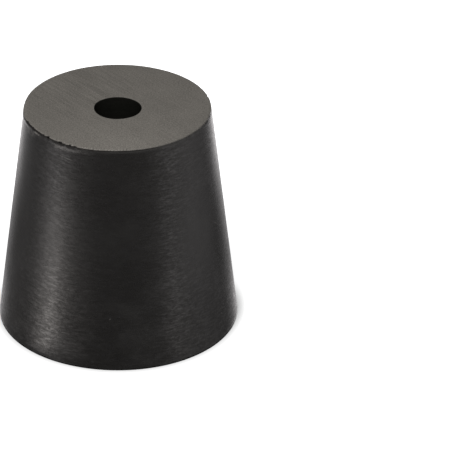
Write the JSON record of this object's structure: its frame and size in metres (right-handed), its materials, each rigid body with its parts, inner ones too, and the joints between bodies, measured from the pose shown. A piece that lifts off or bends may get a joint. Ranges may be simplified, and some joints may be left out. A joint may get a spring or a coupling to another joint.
{
  "type": "rubber stopper",
  "caption": "Solid tapered rubber stopper with a straight hole along its axis, closing a flask neck around a glass tube.",
  "frame": {"origin": "centre of the wide end's face, which the stopper stands on", "axes": "+Z along the hole, from the wide end to the narrow end; -X from the hole towards the size number"},
  "size_m": [0.026, 0.026, 0.025],
  "materials": {
    "rubber": "satin black moulded side, matte grey ground ends"
  },
  "bodies": {
    "root": {"stopper": "rubber"}
  },
  "joints": []
}
